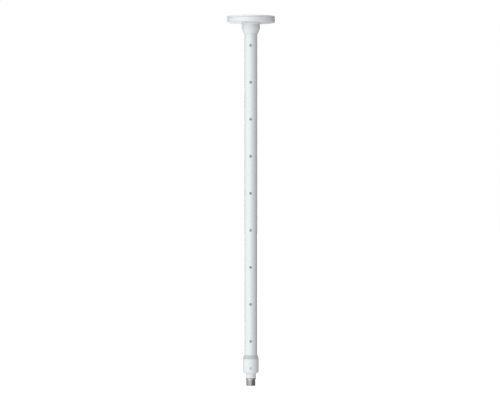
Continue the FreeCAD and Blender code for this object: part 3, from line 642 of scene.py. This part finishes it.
# ---------------------------------------------------------------------------- lower end
def threaded_wall(mesh, low, high, radius, nose_radius, depth, pitch, segments):
    """The outer wall of a male thread between two levels: a trapezoid ridge that follows its helix exactly,
    bevelled from nose_radius at the low end and faded out over the last turn at the high end."""
    rows_per_turn = 14
    half_crest, flank = 0.16, 0.62  # as shares of half the pitch
    row_step = pitch / rows_per_turn
    row_count = math.ceil((high - low + pitch) / row_step) + rows_per_turn

    def ridge(row):
        """0 on the crest, 1 in the root."""
        across = abs((row % rows_per_turn) / rows_per_turn - 0.5) * 2
        return min(1.0, max(0.0, (across - half_crest) / flank))

    grid = []
    for segment in range(segments):
        column = []
        angle = 2 * math.pi * segment / segments
        for row in range(row_count + 1):
            height = low - pitch + row * row_step + pitch * segment / segments
            height = min(max(height, low), high)
            fade = min(1.0, (high - height) / pitch)
            reach = min(radius - depth * ridge(row) * fade, nose_radius + (height - low))
            point = Vector((reach * math.cos(angle), reach * math.sin(angle), height))
            column.append(mesh.verts.new(point * MM))
        grid.append(column)
    for segment in range(segments):
        wraps = segment == segments - 1
        beside = grid[0][rows_per_turn:] if wraps else grid[segment + 1]
        column = grid[segment]
        for row in range(min(len(beside), len(column)) - 1):
            mesh.faces.new((column[row], beside[row], beside[row + 1], column[row + 1]))
    bmesh.ops.remove_doubles(mesh, verts=mesh.verts, dist=WELD * MM)
    bmesh.ops.dissolve_degenerate(mesh, edges=mesh.edges, dist=WELD * MM)


def make_thread_sleeve():
    """The sleeve on the tube's lower end, with the collar's 1.5 mm thread round it."""
    pitch, depth, segments = 1.5, 0.55, 128
    inner = tube.radius + FIT_GAP / 2
    mesh = bmesh.new()
    nose_radius = sleeve.radius - depth
    threaded_wall(mesh, sleeve.bottom, sleeve.top, sleeve.radius, nose_radius, depth, pitch, segments)
    spin(mesh, outline_of([
        (nose_radius, sleeve.bottom, 0),
        (inner, sleeve.bottom, 0),
        (inner, sleeve.top, 0),
        (sleeve.radius, sleeve.top, 0),
    ], 1, LONGEST, closed=False), segments, closed=False)
    dress(new_piece("threaded_sleeve", mesh), "thread_sleeve")


def make_weather_seal():
    """The soft ring above the collar: a cone with two shallow grooves, and a skirt inside the collar."""
    inner = tube.radius + FIT_GAP / 2
    lip_wall, cone, body_height = 0.6, 4.6, 5.8
    groove_depths, groove_half, groove_sink = (1.7, 3.1), 0.3, 0.22
    lip = tube.radius + lip_wall
    slope = (seal.radius - lip) / cone
    corners = [(inner, seal.top, 0.15), (lip, seal.top, 0.2)]
    for depth in groove_depths:
        for offset, sink in ((-groove_half, 0), (0, groove_sink), (groove_half, 0)):
            corners.append((lip + slope * (depth + offset) - sink, seal.top - depth - offset, 0.06))
    corners += [
        (seal.radius, seal.top - cone, 0.5),
        (seal.radius, seal.top - body_height, 0.35),
        (sleeve.radius, seal.top - body_height, 0.1),
        (sleeve.radius, seal.bottom, 0.2),
        (inner, seal.bottom, 0.2),
    ]
    dress(lathe("weather_seal_ring", corners, segments=160), "weather_seal")


def make_collar():
    """The union collar: eased edges, a 45 degree bevel and the grub screw's hole on the front."""
    wall, end_face, floor_above, stem_gap = 1.35, 2.3, 3.0, 0.2
    screw_height, screw_inside = 3.2, 1.6
    bore = collar.radius - wall
    lip_bore = head_stem_radius() + stem_gap
    bevel = collar.radius - lip_bore - end_face
    lip = collar.bottom + bevel + floor_above
    piece = lathe("collar_piece", [
        (bore, collar.top, 0.2),
        (collar.radius, collar.top, 0.45),
        (collar.radius, collar.bottom + bevel, 0.7),
        (collar.radius - bevel, collar.bottom, 0.3),
        (lip_bore, collar.bottom, 0.15),
        (lip_bore, lip, 0.15),
        (bore, lip, 0.3),
    ], segments=192)
    hole = grub_hole("collar_screw_hole", lip + screw_height, bore - screw_inside, collar.radius, FRONT)
    dress(carve(piece, [hole]), "union_collar")


def head_stem_radius():
    """The radius of the connector head's stem, which stands out a little from the gasket below it."""
    ledge = 0.3
    return gasket.radius + ledge


def make_connector_head():
    """The head that carries the jack: spigot with an O-ring groove, flange, and a stem with two flats."""
    tube_gap, flange_height, rim_height, rim_width = 0.2, 5.6, 1.1, 1.5
    stem, flange, step = head_stem_radius(), head.radius, head.radius - rim_width
    flange_top = tube.bottom - tube_gap
    rim_under, flange_under = flange_top - rim_height, flange_top - flange_height
    spigot = tube.radius - TUBE_WALL - FIT_GAP
    ring_height, ring_half, ring_depth = 4.8, 0.69, 1.28
    ring_level, ring_floor = flange_top + ring_height, spigot - ring_depth
    feed_bore, match_seat, body_bore = 4.05, 5.25, JACK_BODY + FIT_GAP
    seat_floor, match_floor = extent("feed_rod").bottom, extent("matching_sleeve").bottom
    piece = lathe("jack_head", [
        (match_seat, head.top, 0.15),
        (spigot, head.top, 0.4),
        (spigot, ring_level + ring_half, 0.08),
        (ring_floor, ring_level + ring_half, 0.08),
        (ring_floor, ring_level - ring_half, 0.08),
        (spigot, ring_level - ring_half, 0.08),
        (spigot, flange_top, 0.1),
        (flange, flange_top, 0.25),
        (flange, rim_under, 0.15),
        (step, rim_under, 0.1),
        (step, flange_under, 0.2),
        (stem, flange_under, 0.3),
        (stem, head.bottom, 0.4),
        (body_bore, head.bottom, 0.15),
        (body_bore, seat_floor, 0.1),
        (feed_bore, seat_floor, 0.1),
        (feed_bore, match_floor, 0.1),
        (match_seat, match_floor, 0.1),
    ], segments=160)
    half_flats, flat_foot, collar_gap = 7.8, 1.0, 0.3
    reach = stem + 1
    cutters = []
    for sign in (-1, 1):
        near, far = sorted((sign * half_flats, sign * reach))
        low = (-reach, near, head.bottom + flat_foot)
        high = (reach, far, collar.bottom - collar_gap)
        cutters.append(block(f"flat_{sign}", low, high))
    dress(carve(piece, cutters), "connector_head")


def make_jack_gasket():
    """The flat rubber ring between the jack's shoulder and the head."""
    bore = JACK_BODY + FIT_GAP
    dress(lathe("gasket_ring", [
        (bore, gasket.top, 0.1),
        (gasket.radius, gasket.top, 0.2),
        (gasket.radius, gasket.bottom, 0.2),
        (bore, gasket.bottom, 0.1),
    ], segments=96), "jack_gasket")


def make_jack_shell():
    """The jack's shell: 5/8-24 coupling thread, shoulder, body and open mouth."""
    thread = mount("jack_thread")["dims"]["r_mm"]
    pitch, depth, segments = 25.4 / 24, 0.62, 144
    thread_length, shoulder, nose_bevel = 10.8, 1.2, 0.1
    mouth, bore = 4.05, 3.5
    shoulder_under = shell.bottom + thread_length
    shoulder_top = shoulder_under + shoulder
    mouth_floor = shell.bottom + JACK_MOUTH_DEPTH
    nose_radius = thread - depth - nose_bevel
    mesh = bmesh.new()
    threaded_wall(mesh, shell.bottom, shoulder_under, thread, nose_radius, depth, pitch, segments)
    spin(mesh, outline_of([
        (thread, shoulder_under, 0),
        (shell.radius, shoulder_under, 0.15),
        (shell.radius, shoulder_top, 0.2),
        (JACK_BODY, shoulder_top, 0.1),
        (JACK_BODY, shell.top, 0.3),
        (bore, shell.top, 0.2),
        (bore, mouth_floor, 0.1),
        (mouth, mouth_floor, 0.1),
        (mouth, shell.bottom, 0.35),
        (nose_radius, shell.bottom, 0),
    ], 5, LONGEST, closed=False), segments, closed=False)
    dress(new_piece("threaded_shell", mesh), "jack_shell")


def make_jack_insulator():
    """The PTFE bush that holds the contact."""
    insulator, bore = extent("jack_insulator"), extent("jack_contact").radius + FIT_GAP
    dress(lathe("insulator_bush", [
        (bore, insulator.top, 0.1),
        (insulator.radius, insulator.top, 0.15),
        (insulator.radius, insulator.bottom, 0.25),
        (bore, insulator.bottom, 0.2),
    ], segments=96), "jack_insulator")


def make_jack_contact():
    """The centre contact: a socket slotted crosswise, with a solder pin above."""
    contact = extent("jack_contact")
    socket, socket_depth, solder_pin, recess = 0.825, 6.44, 0.8, 1.9
    tip = shell.bottom + recess
    socket_floor = tip + socket_depth
    piece = lathe("contact_socket", [
        (socket, tip, 0.12),
        (contact.radius, tip, 0.3),
        (contact.radius, shell.top, 0.2),
        (solder_pin, shell.top, 0.1),
        (solder_pin, contact.top, 0.3),
        (0, contact.top, 0),
        (0, socket_floor, 0),
        (socket, socket_floor, 0.1),
    ], segments=64)
    slot_half, slot_length, reach, beyond = 0.15, 5.0, 3, 1
    slot_foot, slot_top = tip - beyond, tip + slot_length
    cutters = [
        block("slot_across", (-slot_half, -reach, slot_foot), (slot_half, reach, slot_top)),
        block("slot_along", (-reach, -slot_half, slot_foot), (reach, slot_half, slot_top)),
    ]
    dress(carve(piece, cutters), "jack_contact")


# ---------------------------------------------------------------------------- stage
def make_floor():
    """A plain pale floor well below the antenna. It can't be seen from underneath, and it lights nothing."""
    drop, reach = 0.45, 60.0
    mesh = bmesh.new()
    bmesh.ops.create_circle(mesh, cap_ends=True, radius=reach, segments=64)
    floor = new_piece("floor", mesh, Matrix.Translation((0, 0, cad_box[0].z - drop)))
    if floor.data.polygons[0].normal.z < 0:
        floor.data.flip_normals()
    finish = bpy.data.materials.new("pale_floor")
    finish.use_nodes = True
    nodes, link = finish.node_tree.nodes, finish.node_tree.links.new
    paint = nodes["Principled BSDF"]
    paint.inputs["Base Color"].default_value = (0.95, 0.95, 0.95, 1)
    paint.inputs["Roughness"].default_value = 0.9
    paint.inputs["Emission Color"].default_value = WHITE
    paint.inputs["Emission Strength"].default_value = 0.45
    behind = nodes.new("ShaderNodeNewGeometry").outputs["Backfacing"]
    clear = nodes.new("ShaderNodeBsdfTransparent")
    mix = nodes.new("ShaderNodeMixShader")
    link(behind, mix.inputs["Fac"])
    link(paint.outputs["BSDF"], mix.inputs[1])
    link(clear.outputs["BSDF"], mix.inputs[2])
    link(mix.outputs["Shader"], nodes["Material Output"].inputs["Surface"])
    floor.data.materials.append(finish)
    floor.visible_diffuse = False
    floor.visible_glossy = False


# The studio round the antenna: how bright it is at eye level in each direction, in degrees from the front,
# with +90 at the right. A soft box reaches from the left to the front, brightest at the front left. A white
# backdrop stands behind, left of the middle. A narrow dark flag parts the two, and a wide one takes up the
# right side.
STUDIO = [
    (-180, 1.90), (-160, 1.60),
    (-140, 0.10), (-122, 0.05),
    (-102, 0.75), (-80, 1.02), (-60, 1.54), (-25, 2.04), (5, 1.47), (25, 0.70),
    (45, 0.05), (174, 0.04), (180, 0.30),
]
STUDIO_PEAK = 2.1  # the brightness that the colour ramp's white stands for
CEILING, FLOOR = 0.79, 0.98
WHITE = (1, 1, 1, 1)


def make_studio():
    """The light round the antenna. The camera itself sees plain white instead of it."""
    world = bpy.data.worlds.new("studio")
    bpy.context.scene.world = world
    world.use_nodes = True
    nodes, link = world.node_tree.nodes, world.node_tree.links.new
    nodes.clear()

    def math_node(operation, first, second):
        node = nodes.new("ShaderNodeMath")
        node.operation = operation
        for socket, value in zip(node.inputs, (first, second)):
            if isinstance(value, (int, float)):
                socket.default_value = value
            else:
                link(value, socket)
        return node.outputs["Value"]

    direction = nodes.new("ShaderNodeSeparateXYZ")
    link(nodes.new("ShaderNodeTexCoord").outputs["Generated"], direction.inputs["Vector"])
    frontward = math_node("MULTIPLY", direction.outputs["Y"], -1)
    azimuth = math_node("ARCTAN2", direction.outputs["X"], frontward)
    turn = math_node("ADD", math_node("DIVIDE", azimuth, 2 * math.pi), 0.5)
    ramp = nodes.new("ShaderNodeValToRGB")
    ramp.color_ramp.interpolation = "EASE"
    link(turn, ramp.inputs["Fac"])
    stops = ramp.color_ramp.elements  # it starts with one stop at each end
    for degrees, _ in STUDIO[1:-1]:
        stops.new(degrees / 360 + 0.5)
    for stop, (_, brightness) in zip(stops, STUDIO):
        shade = brightness / STUDIO_PEAK
        stop.color = (shade, shade, shade, 1)
    steepness = math_node("ABSOLUTE", direction.outputs["Z"], 0)
    around = math_node("MULTIPLY", ramp.outputs["Color"], STUDIO_PEAK)
    walls = math_node("MULTIPLY", around, math_node("SUBTRACT", 1, steepness))
    upward = math_node("GREATER_THAN", direction.outputs["Z"], 0)
    end = math_node("ADD", math_node("MULTIPLY", upward, CEILING - FLOOR), FLOOR)
    strength = math_node("ADD", walls, math_node("MULTIPLY", steepness, end))
    light = nodes.new("ShaderNodeBackground")
    light.inputs["Color"].default_value = WHITE
    link(strength, light.inputs["Strength"])
    backdrop = nodes.new("ShaderNodeBackground")
    backdrop.inputs["Color"].default_value = WHITE
    mix = nodes.new("ShaderNodeMixShader")
    link(nodes.new("ShaderNodeLightPath").outputs["Is Camera Ray"], mix.inputs["Fac"])
    link(light.outputs["Background"], mix.inputs[1])
    link(backdrop.outputs["Background"], mix.inputs[2])
    link(mix.outputs["Shader"], nodes.new("ShaderNodeOutputWorld").inputs["Surface"])


def make_camera():
    """A long lens level with the antenna's middle, square to its front."""
    distance, aside, level = 4.74, -0.0012, -0.3048
    lens, sensor_width = 205.9, 36.0
    data = bpy.data.cameras.new("camera")
    data.lens = lens
    data.sensor_width = sensor_width
    camera = bpy.data.objects.new("camera", data)
    bpy.context.scene.collection.objects.link(camera)
    camera.location = (aside, -distance, level)
    camera.rotation_euler = (math.radians(90), 0, 0)
    bpy.context.scene.camera = camera
    bpy.context.scene.view_settings.view_transform = "Standard"


# ---------------------------------------------------------------------------- build
make_camera()
make_studio()
make_floor()
finish_cad_nodes()
make_plate()
make_hanger_screw()
make_canopy()
make_grub_screw("canopy_grub_screw", BACK)
make_radome()
make_spacer_screws()
make_thread_sleeve()
make_weather_seal()
make_collar()
make_grub_screw("collar_grub_screw", FRONT)
make_connector_head()
make_jack_gasket()
make_jack_shell()
make_jack_insulator()
make_jack_contact()
